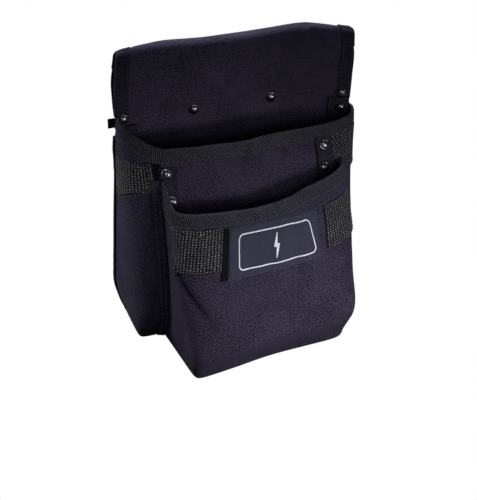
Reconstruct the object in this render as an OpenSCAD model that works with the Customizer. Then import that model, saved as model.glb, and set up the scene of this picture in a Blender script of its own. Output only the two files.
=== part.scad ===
// Two-pocket belt pouch in heavy woven nylon.
// The back panel folds over at the top to make a belt tunnel, a deep pocket is sewn across its
// front, and a shorter pocket is sewn and riveted on the front of the deep one.
// Front is -Y, up is +Z, and the pouch stands on Z = 0 with its box centred on X and Y.

/* [Back panel and belt tunnel] */
// Height to the top of the fold
pouch_h = 260; // [245:1:290]
// Width of the panel at the belt tunnel
tunnel_w = 208; // [200:1:214]
// Height of the seam that closes the tunnel
seam_z = 198; // [190:1:205]
// Depth of the tunnel for the belt, halfway up
tunnel_gap = 15; // [13:1:20]
// How far the right-hand top corner leans forward
right_lean = 7; // [0:1:8]
// How far the left-hand top corner leans forward
left_lean = 1; // [0:1:8]

/* [Rear pocket] */
// Height of the rear pocket's rim
rear_rim = 180; // [172:1:184]
// Width at the base
rear_base_w = 199; // [180:1:206]
// Width at the belly
rear_belly_w = 224; // [214:1:230]
// Width at the rim
rear_rim_w = 220; // [212:1:226]
// Depth at the base
rear_base_d = 44; // [38:1:52]
// Depth at the belly
rear_belly_d = 75; // [66:1:80]
// Depth at the rim
rear_rim_d = 35; // [30:1:44]

/* [Front pocket] */
// Height of the front pocket's rim
front_rim = 143; // [138:1:146]
// Width at the base
front_base_w = 151; // [144:1:158]
// Width at the belly
front_belly_w = 171; // [164:1:176]
// Width at the rim
front_rim_w = 167; // [160:1:172]
// Depth in front of the rear pocket, at the base
front_base_d = 62; // [54:1:66]
// Depth in front of the rear pocket, at the belly
front_belly_d = 59; // [52:1:64]
// Depth in front of the rear pocket, at the rim
front_rim_d = 34; // [28:1:40]
// Sideways set of the front pocket
front_set = 2.4; // [0:0.2:4]

/* [Cloth, tape and webbing] */
// Thickness of the pocket cloth
cloth_t = 1.6; // [1.4:0.1:2]
// Thickness of the back panel
panel_t = 1.8; // [1.6:0.1:2.4]
// Thickness of the edge tape
tape_t = 0.8; // [0.6:0.1:0.9]
// Width of tape seen on each side of an edge
tape_w = 10; // [8:0.5:12]
// Width of the webbing strips
webbing_w = 38; // [34:1:39]
// Thickness of the webbing
webbing_t = 1.5; // [1:0.1:2]

/* [Rivets] */
// Radius of a rivet's cap
cap_r = 4.2; // [3.5:0.1:5]
// Radius of a rivet's post
post_r = 1.5; // [1.2:0.1:2]

/* [Hidden] */

cloth_col = [0.13, 0.13, 0.17];
tape_col = [0.10, 0.10, 0.11];
web_col = [0.16, 0.16, 0.18];
label_col = [0.20, 0.20, 0.27];
print_col = [0.85, 0.86, 0.88];
metal_col = [0.55, 0.55, 0.58];

// The panel's front face stands this far behind the middle of the whole pouch.
face_y = 52.7;
// A sheet that lies on another one sits this far off it, which leaves room for a folded tape.
seat = 1.1;
// Gap between a tape or patch and the sheet that it is sewn to.
gap = 0.1;
// Corner tabs lie flat on the layer behind each pocket's mouth, where rivets hold them.
rear_tab_x = [86, 103];
rear_tab_z = [171, 204];
front_tab_x = [61.5, 79.5];
front_tab_z = [130, 169];
front_tab_set = -1.5;
// The front pocket's rim rises this much towards its attaching lines.
front_rise = 22;
// Seam allowance of the front pocket, flat on the rear pocket outside the attaching line.
flange_w = 7;
base_t = 2;
fold_h = 6;
hem_drop = 10;
hem_overhang = 5;

rear_w = [[0, rear_base_w / 2], [30, rear_belly_w / 2], [90, rear_belly_w / 2 - 4.5],
    [150, rear_rim_w / 2 - 3], [rear_rim, rear_rim_w / 2], [seam_z - 2, tunnel_w / 2],
    [pouch_h, tunnel_w / 2]];
rear_d = [[0, rear_base_d], [40, rear_belly_d], [90, rear_belly_d - 4], [140, rear_rim_d + 20],
    [rear_rim, rear_rim_d], [rear_rim + 30, rear_rim_d - 8]];
rear_n = [[0, 6.5], [14, 4.5], [42, 3.4], [rear_rim, 2.9]];
front_w = [[0, front_base_w / 2], [38, front_belly_w / 2], [80, front_belly_w / 2],
    [front_rim, front_rim_w / 2]];
front_d = [[0, front_base_d], [40, front_belly_d], [90, front_rim_d + 12],
    [front_rim, front_rim_d], [front_rim + 30, front_rim_d - 8]];
front_n = [[0, 10], [14, 4.8], [42, 3.2], [front_rim, 2.7]];

end_rivet_x = 97.5;
tunnel_rivet_x = [-end_rivet_x, -35.3, 35.3, end_rivet_x];
corner_rivet_x = [-96, 96];
corner_rivet_z = 183;
pocket_rivets = [[-72.5, 164], [-71.5, 144], [69.5, 165], [68, 147]];

// Smooth step from 0 to 1.
function ease(t) = let (c = max(0, min(1, t))) c * c * (3 - 2 * c);
function unit(v) = v / norm(v);

// Front face of the back panel: flat low down, its top corners leaning forward.
function panel_y(x, z) = -(x > 0 ? right_lean : left_lean)
    * ease((abs(x) - 55) / 53) * ease((z - 97) / 97);

// Outer face of a superellipse section at polar angle a, and its outward direction.
function ring(a, w, d, n) = let (r = pow(pow(abs(cos(a)) / w, n) + pow(abs(sin(a)) / d, n), -1 / n))
    [r * cos(a), -r * abs(sin(a))];
function ring_out(p, w, d, n) = unit([sign(p.x) * pow(abs(p.x) / w, n - 1) / w,
    -pow(abs(p.y) / d, n - 1) / d]);

// Outer face of the rear pocket at x, pulled forward where the panel leans.
function rear_lean(x, y, z) = panel_y(x, z) - seat + y * (1 + panel_y(x, z) / lookup(z, rear_d));
function rear_y(x, z) = let (w = lookup(z, rear_w), n = lookup(z, rear_n))
    rear_lean(x, -lookup(z, rear_d) * pow(max(0, 1 - pow(min(1, abs(x) / w), n)), 1 / n), z);

// Straight line across the rear pocket between the front pocket's two attaching lines.
function chord_y(x, z) = let (w = lookup(z, front_w), t = (x - front_set + w) / (2 * w))
    rear_y(front_set - w, z) * (1 - t) + rear_y(front_set + w, z) * t;

// A point of a sheet lying on the layer behind: off is measured from the sheet's outer face.
function lie(front, x, z, off) =
    let (y = front ? rear_y(x, z) : panel_y(x, z),
        slope = front ? (rear_y(x + 0.5, z) - rear_y(x - 0.5, z)) : 0,
        out = unit([slope, -1]) * (seat + cloth_t + off))
    [x + out.x, y + out.y, z];

// A point of a pocket wall: s runs from -1 at the left attaching line to 1 at the right one.
function bulge(front, s, z, off) =
    let (w = lookup(z, front ? front_w : rear_w), d = lookup(z, front ? front_d : rear_d),
        n = lookup(z, front ? front_n : rear_n), p = ring(90 - 90 * s, w, d, n),
        q = p + ring_out(p, w, d, n) * off)
    front ? [q.x + front_set, q.y + chord_y(q.x + front_set, z), z]
          : [q.x, rear_lean(q.x, q.y, z), z];

// A point of a pocket's cloth: beyond its attaching lines the front pocket lies on the rear one.
function wall(front, s, z, off) = front && abs(s) >= 1
    ? lie(true, front_set + sign(s) * (lookup(z, front_w) + (abs(s) - 1) * flange_w / flange_s), z, off)
    : bulge(front, s, z, off);
function wall_top(front, s) = front ? front_rim + front_rise * pow(ease((abs(s) - 0.8) / 0.2), 1.3)
    : rear_rim;

// Positions across a pocket, closer together towards the attaching lines.
across = [for (i = [-14:14]) sign(i) * (1 - pow(1 - abs(i) / 14, 1.35))];
flange_s = 0.08;
front_across = concat([-1 - flange_s], across, [1 + flange_s]);

// Closed sheet between two grids of points with the same rows and columns.
module sheet(outer, inner) {
    rows = len(outer);
    cols = len(outer[0]);
    pts = concat([for (r = outer) each r], [for (r = inner) each r]);
    half = rows * cols;
    function at(i, j) = i * cols + j;
    edge = concat([for (j = [0:cols - 1]) at(0, j)], [for (i = [1:rows - 1]) at(i, cols - 1)],
        [for (j = [cols - 2:-1:0]) at(rows - 1, j)], [for (i = [rows - 2:-1:1]) at(i, 0)]);
    faces = concat(
        [for (i = [0:rows - 2], j = [0:cols - 2]) [at(i, j), at(i + 1, j), at(i, j + 1)]],
        [for (i = [0:rows - 2], j = [0:cols - 2]) [at(i, j + 1), at(i + 1, j), at(i + 1, j + 1)]],
        [for (i = [0:rows - 2], j = [0:cols - 2]) [at(i, j) + half, at(i, j + 1) + half, at(i + 1, j) + half]],
        [for (i = [0:rows - 2], j = [0:cols - 2])
            [at(i, j + 1) + half, at(i + 1, j + 1) + half, at(i + 1, j) + half]],
        [for (k = [0:len(edge) - 1]) let (a = edge[k], b = edge[(k + 1) % len(edge)]) [a, b, a + half]],
        [for (k = [0:len(edge) - 1]) let (a = edge[k], b = edge[(k + 1) % len(edge)])
            [b, b + half, a + half]]);
    polyhedron(points = pts, faces = faces);
}

// Triangles that close the end of a folded tape, whose ring has eight points.
fold_cap = [[7, 1, 0], [7, 6, 1], [6, 2, 1], [6, 5, 2], [5, 3, 2], [5, 4, 3]];

// Closed tape swept through rings of eight points, made by tape_fold.
module sweep(rings) {
    m = len(rings[0]);
    last = len(rings) - 1;
    polyhedron(points = [for (r = rings) each r], faces = concat(
        [for (c = fold_cap) [c[0], c[1], c[2]]],
        [for (c = fold_cap) [last * m + c[2], last * m + c[1], last * m + c[0]]],
        [for (i = [0:last - 1], k = [0:m - 1]) [i * m + k, i * m + (k + 1) % m, (i + 1) * m + k]],
        [for (i = [0:last - 1], k = [0:m - 1])
            [i * m + (k + 1) % m, (i + 1) * m + (k + 1) % m, (i + 1) * m + k]]));
}

// Folded tape around an edge: across the sheet (from its outer face) and along it (from the edge).
function tape_fold(sheet_t, reach) = let (o = gap + tape_t, i = -sheet_t - gap, j = i - tape_t)
    [[o, -reach], [o, o], [j, o], [j, -reach], [i, -reach], [i, gap], [gap, gap], [gap, -reach]];

module place() {
    translate([0, face_y, 0]) children();
}

module pocket_wall(front) {
    columns = front ? front_across : across;
    rows = 14;
    low = base_t + gap;
    levels = [for (s = columns) [for (i = [0:rows])
        low + (wall_top(front, s) - low) * pow(i / rows, 1.35)]];
    sheet([for (i = [0:rows]) [for (j = [0:len(columns) - 1]) wall(front, columns[j], levels[j][i], 0)]],
        [for (i = [0:rows]) [for (j = [0:len(columns) - 1]) wall(front, columns[j], levels[j][i], -cloth_t)]]);
}

module rim_tape(front) {
    fold = tape_fold(cloth_t, tape_w);
    end = 0.97;
    sweep([for (a = across) let (s = a * end) [for (p = fold) wall(front, s, wall_top(front, s) + p.y, p.x)]]);
}

// Patch sewn on a pocket's outer face.
module patch(front, s0, s1, z0, z1, off, t, cols = 8, rows = 4) {
    grid = function(o) [for (i = [0:rows]) [for (j = [0:cols])
        wall(front, s0 + (s1 - s0) * j / cols, z0 + (z1 - z0) * i / rows, o)]];
    sheet(grid(off + t), grid(off));
}

// Turns +Z to face along the outward direction out, at a point.
module facing(at, out) {
    translate(at) rotate([0, 0, atan2(out.x, -out.y)]) rotate([90 - asin(out.z), 0, 0]) children();
}
function panel_at(x, z) = [x, panel_y(x, z), z];
function panel_out(x, z) = unit([panel_y(x + 1, z) - panel_y(x - 1, z), -2,
    panel_y(x, z + 1) - panel_y(x, z - 1)]);
function rear_at(x, z) = [x, rear_y(x, z), z];
function rear_out(x, z) = unit([rear_y(x + 1, z) - rear_y(x - 1, z), -2,
    rear_y(x, z + 1) - rear_y(x, z - 1)]);

// Places of the rivets: children are drawn with +Z along the post, towards the front.
module at_tunnel_rivets(columns = tunnel_rivet_x) {
    for (x = columns) facing(panel_at(x, seam_z), panel_out(x, seam_z)) children();
}
module at_corner_rivets(side = 0) {
    for (x = corner_rivet_x) if (x * side >= 0)
        facing(panel_at(x, corner_rivet_z), panel_out(x, corner_rivet_z)) children();
}
module at_pocket_rivets(side = 0) {
    for (p = pocket_rivets) if (p.x * side >= 0)
        facing(rear_at(p.x, p.y), rear_out(p.x, p.y)) children();
}
module hole() {
    translate([0, 0, -8]) cylinder(r = post_r + gap, h = 16, $fn = 24);
}

// Domed cap with a rolled edge.
module cap() {
    rotate_extrude($fn = 36)
        polygon(concat([[0, 0], [cap_r - 0.4, 0], [cap_r, 0.4]],
            [for (a = [20:14:90]) [cap_r * 0.98 * cos(a), 0.4 + 1.7 * sin(a)]], [[0, 2.1]]));
}
// Post with its flat back plate, from the back of the layers up to the cap.
module post(back, front) {
    translate([0, 0, back - 0.7]) cylinder(r = cap_r - 0.4, h = 0.7, $fn = 36);
    translate([0, 0, back - 0.01]) cylinder(r = post_r, h = front - back - 0.01, $fn = 24);
}

seat_top = seat + cloth_t + gap + tape_t + gap;
flap_back = panel_t + seat + panel_t + gap + tape_t + gap;
shell_back = cloth_t + gap;

function rivet_front(x) = abs(x) > 60 ? seat_top : gap;

// The flap's path from the top of the panel, over the fold and down the back: [y, z] of its front face.
function tunnel_depth(z) = let (q = (z - seam_z - 4) / (pouch_h - fold_h - seam_z - 4))
    seat + (tunnel_gap - seat) * (q <= 0 ? 0 : pow(sin(q * 140), 0.7));
fold_depth = tunnel_depth(pouch_h - fold_h);
fold_mid = panel_t + fold_depth / 2;
flap_rows = [for (i = [0:9]) pouch_h - fold_h - i * (pouch_h - fold_h - seam_z - 4) / 9];
fold_path = [for (a = [0:22.5:180]) [fold_mid - (fold_depth / 2) * cos(a), pouch_h - fold_h
    + (fold_h - panel_t) * sin(a)]];
back_path = [for (z = concat([for (i = [1:9]) flap_rows[i]], [seam_z, seam_z - hem_drop]))
    [panel_t + tunnel_depth(z), z]];
flap_path = concat(fold_path, back_path);
function path_out(path, i) = let (a = path[max(0, i - 1)], b = path[min(len(path) - 1, i + 1)],
    d = unit(b - a)) [-d.y, d.x];
function flap_point(path, i, x, off) = let (p = path[i] + path_out(path, i) * off)
    [x, p.x + panel_y(x, min(p.y, pouch_h)), p.y];

panel_cols = [for (i = [-8:8]) i / 8];
panel_rows = [0, 15, 30, 60, 90, 115, 140, 160, 180, seam_z - 2, 215, 235, pouch_h - fold_h - gap];

module back_panel() {
    half = [for (z = panel_rows) lookup(z, rear_w) - gap - tape_t];
    grid = function(off) [for (i = [0:len(panel_rows) - 1]) [for (c = panel_cols)
        [c * half[i], panel_y(c * half[i], panel_rows[i]) + off, panel_rows[i]]]];
    color(cloth_col) place() difference() {
        sheet(grid(0), grid(panel_t));
        at_tunnel_rivets() hole();
        at_corner_rivets() hole();
    }
}

module belt_tunnel_flap() {
    half = tunnel_w / 2 - gap - tape_t;
    grid = function(off) [for (i = [0:len(flap_path) - 1]) [for (c = panel_cols)
        flap_point(flap_path, i, c * half, off)]];
    color(cloth_col) place() difference() {
        sheet(grid(panel_t), grid(0));
        at_tunnel_rivets() hole();
    }
}

module flap_hem_tape() {
    fold = tape_fold(panel_t, hem_drop - 2.5);
    half = tunnel_w / 2 + hem_overhang;
    low = seam_z - hem_drop;
    y0 = panel_t + seat + panel_t;
    color(tape_col) place() sweep([for (c = panel_cols) [for (p = fold)
        [c * half, y0 + p.x + panel_y(c * half, seam_z), low - p.y]]]);
}

// Edge tape along one side of the tunnel, up the panel, over the fold and down the flap.
module tunnel_binding(side) {
    start = seam_z + hem_drop - 3;
    front_path = [for (i = [0:4]) [panel_t, start + (pouch_h - fold_h - start) * i / 5]];
    whole = concat(front_path, fold_path, [for (i = [1:7]) back_path[i - 1]]);
    fold = tape_fold(panel_t, tape_w + 1.5);
    half = tunnel_w / 2 - gap - tape_t;
    rings = [for (i = [0:len(whole) - 1]) [for (p = fold)
        let (q = flap_point(whole, i, side * (half + p.y), panel_t + p.x)) q]];
    color(tape_col) place() sweep(side > 0 ? rings : [for (r = rings) [for (k = [7:-1:0]) r[k]]]);
}
module tunnel_binding_left() tunnel_binding(-1);
module tunnel_binding_right() tunnel_binding(1);

// Edge tape along one side of the panel below the tunnel.
module side_binding(side) {
    fold = tape_fold(panel_t, tape_w);
    levels = [3, 15, 30, 60, 90, 115, 140, 160, 176];
    rings = [for (z = levels) [for (p = fold)
        let (x = side * (lookup(z, rear_w) - gap - tape_t + p.y)) [x, panel_y(x, z) - p.x, z]]];
    color(tape_col) place() sweep(side > 0 ? rings : [for (r = rings) [for (k = [7:-1:0]) r[k]]]);
}
module side_binding_left() side_binding(-1);
module side_binding_right() side_binding(1);

module rear_pocket_shell() {
    color(cloth_col) place() difference() {
        pocket_wall(false);
        at_pocket_rivets() hole();
    }
}
// Tab lying on the layer behind: side is -1 or 1.
module corner_tab(front, side) {
    xs = front ? front_tab_x : rear_tab_x;
    zs = front ? front_tab_z : rear_tab_z;
    middle = front ? front_tab_set : 0;
    grid = function(off) [for (i = [0:5]) [for (j = [0:4])
        lie(front, middle + side * (xs[0] + (xs[1] - xs[0]) * (side > 0 ? j : 4 - j) / 4),
            zs[0] + (zs[1] - zs[0]) * i / 5, off)]];
    color(tape_col) place() difference() {
        sheet(grid(0), grid(-cloth_t));
        if (front) at_pocket_rivets(side) hole();
        else {
            at_tunnel_rivets([side * end_rivet_x]) hole();
            at_corner_rivets(side) hole();
        }
    }
}
module rear_corner_tab_left() corner_tab(false, -1);
module rear_corner_tab_right() corner_tab(false, 1);
module front_corner_tab_left() corner_tab(true, -1);
module front_corner_tab_right() corner_tab(true, 1);

module rear_pocket_base() {
    color(cloth_col) place() linear_extrude(base_t) polygon([for (s = across)
        let (p = bulge(false, s, 0, 0)) [p.x, p.y]]);
}
module rear_rim_binding() {
    color(tape_col) place() rim_tape(false);
}
module rear_webbing(side) {
    low = rear_rim - webbing_w - 1;
    color(web_col) place() patch(false, side > 0 ? 0.72 : -0.97, side > 0 ? 0.97 : -0.72,
        low, rear_rim - tape_w - 1, gap, webbing_t);
}
module rear_webbing_left() rear_webbing(-1);
module rear_webbing_right() rear_webbing(1);

module front_pocket_shell() {
    color(cloth_col) place() pocket_wall(true);
}
module front_pocket_base() {
    back = [for (s = [1:-0.25:-1]) let (x = front_set + s * (front_base_w / 2 - 1)) [x, rear_y(x, 0) - gap]];
    color(cloth_col) place() linear_extrude(base_t) polygon(concat(
        [for (s = across) if (abs(s) < 0.99) let (p = bulge(true, s, 0, 0)) [p.x, p.y]], back));
}
module front_rim_binding() {
    color(tape_col) place() rim_tape(true);
}
strip_top = front_rim - tape_w - 0.5;
module front_webbing(side) {
    color(web_col) place() patch(true, side > 0 ? 0.64 : -0.98, side > 0 ? 0.98 : -0.545,
        strip_top - webbing_w, strip_top, gap, webbing_t, cols = 10);
}
module front_webbing_left() front_webbing(-1);
module front_webbing_right() front_webbing(1);

label_s0 = -0.51;
label_s1 = 0.61;
module label_patch() {
    color(label_col) place() patch(true, label_s0, label_s1, strip_top - webbing_w, strip_top, gap, 1,
        cols = 14, rows = 5);
}
// Thin raised frame near the label's edge.
module label_border() {
    z0 = strip_top - webbing_w + 6;
    z1 = strip_top - 6;
    a = label_s0 + 0.1;
    b = label_s1 - 0.1;
    color(print_col) place() union() {
        patch(true, a, b, z0, z0 + 1, 1 + 2 * gap, 0.2, cols = 14, rows = 1);
        patch(true, a, b, z1 - 1, z1, 1 + 2 * gap, 0.2, cols = 14, rows = 1);
        patch(true, a, a + 0.012, z0 + 1, z1 - 1, 1 + 2 * gap, 0.2, cols = 1, rows = 4);
        patch(true, b - 0.012, b, z0 + 1, z1 - 1, 1 + 2 * gap, 0.2, cols = 1, rows = 4);
    }
}
// Plain zigzag spark in the middle of the frame.
module label_bolt() {
    mid_s = (label_s0 + label_s1) / 2;
    mid_z = strip_top - webbing_w / 2;
    module stroke(s0, s1, z0, z1, rows) {
        grid = function(o) [for (i = [0:rows]) let (t = i / rows) [for (j = [0, 1])
            wall(true, mid_s + s0 + (s1 - s0) * t + (j - 0.5) * 0.075, mid_z + z0 + (z1 - z0) * t, o)]];
        sheet(grid(1.2 + 2 * gap), grid(1 + 2 * gap));
    }
    color(print_col) place() {
        stroke(-0.05, 0.03, -9, 0.4, 3);
        stroke(-0.03, 0.05, -0.4 + 1, 9, 3);
    }
}

module tunnel_rivet_caps() {
    color(metal_col) place() for (x = tunnel_rivet_x)
        facing(panel_at(x, seam_z), panel_out(x, seam_z)) translate([0, 0, rivet_front(x)]) cap();
}
module tunnel_rivet_posts() {
    color(metal_col) place() for (x = tunnel_rivet_x)
        facing(panel_at(x, seam_z), panel_out(x, seam_z)) post(-flap_back - 0.2, rivet_front(x));
}
module corner_rivet_caps() {
    color(metal_col) place() at_corner_rivets() translate([0, 0, seat_top]) cap();
}
module corner_rivet_posts() {
    color(metal_col) place() at_corner_rivets() post(-panel_t - gap, seat_top);
}
module pocket_rivet_caps() {
    color(metal_col) place() at_pocket_rivets() translate([0, 0, seat_top]) cap();
}
module pocket_rivet_posts() {
    color(metal_col) place() at_pocket_rivets() post(-shell_back, seat_top);
}

back_panel();
belt_tunnel_flap();
flap_hem_tape();
tunnel_binding_left();
tunnel_binding_right();
side_binding_left();
side_binding_right();
rear_pocket_shell();
rear_pocket_base();
rear_corner_tab_left();
rear_corner_tab_right();
rear_rim_binding();
rear_webbing_left();
rear_webbing_right();
front_pocket_shell();
front_pocket_base();
front_corner_tab_left();
front_corner_tab_right();
front_rim_binding();
front_webbing_left();
front_webbing_right();
label_patch();
label_border();
label_bolt();
tunnel_rivet_caps();
tunnel_rivet_posts();
corner_rivet_caps();
corner_rivet_posts();
pocket_rivet_caps();
pocket_rivet_posts();
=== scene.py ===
import math

import bmesh
import bpy
import numpy as np
from mathutils import Matrix, Vector


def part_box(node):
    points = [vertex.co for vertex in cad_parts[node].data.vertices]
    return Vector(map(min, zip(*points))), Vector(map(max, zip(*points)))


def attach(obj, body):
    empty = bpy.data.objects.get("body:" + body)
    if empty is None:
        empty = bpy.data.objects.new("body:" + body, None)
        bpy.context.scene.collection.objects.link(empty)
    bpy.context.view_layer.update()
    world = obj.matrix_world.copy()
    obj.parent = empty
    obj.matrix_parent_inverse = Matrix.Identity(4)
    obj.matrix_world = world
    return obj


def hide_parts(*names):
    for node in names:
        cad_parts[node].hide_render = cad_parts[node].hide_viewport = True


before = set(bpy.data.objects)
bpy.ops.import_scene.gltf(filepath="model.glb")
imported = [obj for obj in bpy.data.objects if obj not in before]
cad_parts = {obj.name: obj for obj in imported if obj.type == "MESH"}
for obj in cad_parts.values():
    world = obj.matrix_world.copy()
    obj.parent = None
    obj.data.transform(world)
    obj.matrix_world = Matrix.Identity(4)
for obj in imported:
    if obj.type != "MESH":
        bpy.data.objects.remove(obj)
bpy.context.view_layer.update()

# Every piece is built in millimetres, and Body.make() turns it into metres. As in the CAD source,
# y = 0 is the front face of the back panel, the front is -Y, and the pouch stands on z = 0.
MM = 0.001
CLOTH_T, PANEL_T, TAPE_T, GAP, SEAT = 1.6, 1.8, 0.8, 0.1, 1.1
FACE_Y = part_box("back_panel")[1].y / MM - PANEL_T
FOLD_SETTLES = 3.2  # the soft fold sits this much lower than the CAD one
POUCH_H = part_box("belt_tunnel_flap")[1].z / MM - FOLD_SETTLES
TUNNEL_W, SEAM_Z, REAR_RIM, FRONT_RIM = 208, 198, 180, 143
TAPE_W, WEBBING_W, WEBBING_T = 10, 38, 1.5
STRIP_TOP = FRONT_RIM - TAPE_W - 0.5
RIGHT_LEAN, LEFT_LEAN = 12, 2  # how far the panel's top corners lean forward
FRONT_RISE = 17  # of the front rim at its left end
FLANGE_W, FLANGE_S = 7, 0.08  # the front pocket's seam allowance, in millimetres and in units of s
FOLD_H, TUNNEL_GAP, HEM_Z = 6, 15, 193
HEM_W, HEM_OVERHANG = 7.5, (6, 1.5)  # past the tunnel's left and right edges
RIM_SEAM, FOOT_SEAM_Z = TAPE_W - 1.6, 5.0  # below the rim, above the ground
# The next thickness is that of thin dark sheets at the webbing strips' ends: painted shade for the gaps
# there, not turned-under tape.
PAINTED_SHADE_T = 0.7  # of the webbing's turned ends
REAR_END, FRONT_END = 0.965, 0.87  # s at the webbing strips' far ends
CAP_R = 4.3  # of the rivets
CORNER_R = (5.5, 2.5)  # of the tunnel's top corners, left and right
LABEL_S = (-0.53, 0.485, 0.565)  # left edge, foot of the right edge, top of the right edge

# Sections of the pockets at heights above the ground: half widths, depths, and the exponents of their
# rounded outlines, where a higher one is squarer. One side of each pocket has an exponent of its own.
REAR_W = [(0, 100), (34, 109.4), (90, 107.5), (150, 105.5), (180, 106.5), (196, 104), (270, 104)]
REAR_D = [(0, 41.5), (40, 75), (90, 71), (140, 55), (180, 35), (210, 27)]
REAR_N = [(0, 12), (14, 7), (42, 4), (90, 3.2), (180, 2.9)]
REAR_N_LEFT = [(0, 26), (14, 12), (42, 5.6), (90, 4.4), (140, 3.5), (180, 2.9)]
FRONT_W = [(0, 79), (38, 82.5), (80, 84.5), (130, 83.5), (150, 81.5)]
FRONT_D = [(0, 64.8), (40, 57.5), (90, 43.5), (143, 33.5), (173, 26)]
FRONT_N = [(0, 26), (20, 16), (48, 8), (75, 6), (110, 4.6), (143, 3.8)]
FRONT_N_RIGHT = [(0, 14), (12, 10.5), (30, 6.2), (60, 3.8), (100, 3), (143, 2.7)]
# How far the front pocket's face moves forward at each x, in full at the foot.
FRONT_SKEW = [(-76, 4.6), (-38, 0.8), (0, -4.6), (76, -5.5)]

# Creases: both ends of a line, its width and its depth. A negative depth is a ridge.
REAR_CREASES = [
    ((-73, 163), (-47, 133), 5, 2.2), ((70, 160), (50, 138), 5, 1.2),
    ((-100, 120), (-92, 40), 7, 2.6), ((101, 128), (96, 60), 6, 1.6)]
FRONT_CREASES = [
    ((-106, 113), (-69, 63), 2.8, 5.2), ((-99, 113), (-62, 66), 4, -1.3),
    ((-93, 62), (-84, 10), 9, 1.8), ((96, 92), (80, 40), 7, 1.6), ((-30, 78), (28, 84), 12, 1.3)]
TUNNEL_CREASES = [
    ((63, POUCH_H), (91, 225), 3.6, 4.2), ((88, 232), (97, 206), 6, 2.5),
    ((60, POUCH_H - 4), (42, 232), 5, 1.4), ((-72, POUCH_H - 10), (-92, 222), 6, 1.4),
    ((20, 250), (52, 212), 14, 1.6)]


def ease(t):
    t = np.clip(t, 0, 1)
    return t * t * (3 - 2 * t)


def tab(pairs, z, soft=8.0):
    """Table look-up, softened over a few millimetres so that no kink shows."""
    z = np.asarray(z, float)
    zs, values = zip(*pairs)
    return sum(np.interp(z + soft * k, zs, values) for k in (-1, -0.5, 0, 0.5, 1)) / 5


def noise(u, v, seed):
    """Smooth random bumps between -1 and 1, one for each unit of u and v."""
    knots = np.random.RandomState(seed).rand(64, 64) * 2 - 1
    u, v = np.broadcast_arrays(np.asarray(u, float), np.asarray(v, float))
    i, j = np.floor(u).astype(int), np.floor(v).astype(int)
    a, b = ease(u - i), ease(v - j)
    at = lambda p, q: knots[p % 64, q % 64]
    low = at(i, j) * (1 - a) + at(i + 1, j) * a
    high = at(i, j + 1) * (1 - a) + at(i + 1, j + 1) * a
    return low * (1 - b) + high * b


def groove(u, v, a, b, width, depth):
    """Groove in the cloth along the line from a to b. It fades towards its ends."""
    du, dv = b[0] - a[0], b[1] - a[1]
    t = np.clip(((u - a[0]) * du + (v - a[1]) * dv) / (du * du + dv * dv), 0, 1)
    away = np.hypot(u - a[0] - t * du, v - a[1] - t * dv)
    return -depth * np.exp(-((away / width) ** 2)) * (0.35 + 0.65 * np.sin(np.pi * t))


def creased(out, u, v, creases):
    for crease in creases:
        out = out + groove(u, v, *crease)
    return out


# ---------------------------------------------------------------- the shape of the cloth

def panel_lean(x, z):
    """Front face of the back panel: its top corners lean forward."""
    lean = np.where(x > 0, RIGHT_LEAN, LEFT_LEAN)
    return -lean * ease((np.abs(x) - 55) / 53) * ease((z - 97) / 97)


def rear_relief(x, z):
    """How far the rear pocket's front stands proud of its smooth shape."""
    out = 1.1 * noise(x / 38, z / 34, 3) + 0.5 * noise(x / 15, z / 19, 4)
    out = creased(out, x, z, REAR_CREASES)
    return out * (1 - np.clip(np.abs(x) / tab(REAR_W, z), 0, 1) ** 8) * ease(z / 25)


def rear_from_ring(x, y, z):
    """Places y of the smooth section on the leaning panel, with the relief."""
    lean = panel_lean(x, z)
    return lean - SEAT + y * (1 + lean / tab(REAR_D, z)) - rear_relief(x, z)


def rear_y(x, z):
    """Outer face of the rear pocket at x."""
    w, n = tab(REAR_W, z), np.where(np.asarray(x) < 0, tab(REAR_N_LEFT, z), tab(REAR_N, z))
    inside = np.maximum(0, 1 - np.minimum(1, np.abs(x) / w) ** n) ** (1 / n)
    return rear_from_ring(x, -tab(REAR_D, z) * inside, z)


def front_set(z):
    """How far the front pocket's middle stands to the right."""
    return 2.4 - 3.2 * np.exp(-(((np.asarray(z, float) - 26) / 34) ** 2))


def front_relief(s, z):
    """How far the front pocket's face stands proud of its smooth shape."""
    u = 118 * s  # millimetres along the cloth
    out = 1.2 * noise(u / 42 + 5, z / 36, 11) + 0.45 * noise(u / 14, z / 17, 12)
    out = creased(out, u, z, FRONT_CREASES)
    return out * (1 - np.clip(np.abs(s), 0, 1) ** 10) * ease(z / 22)


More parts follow.
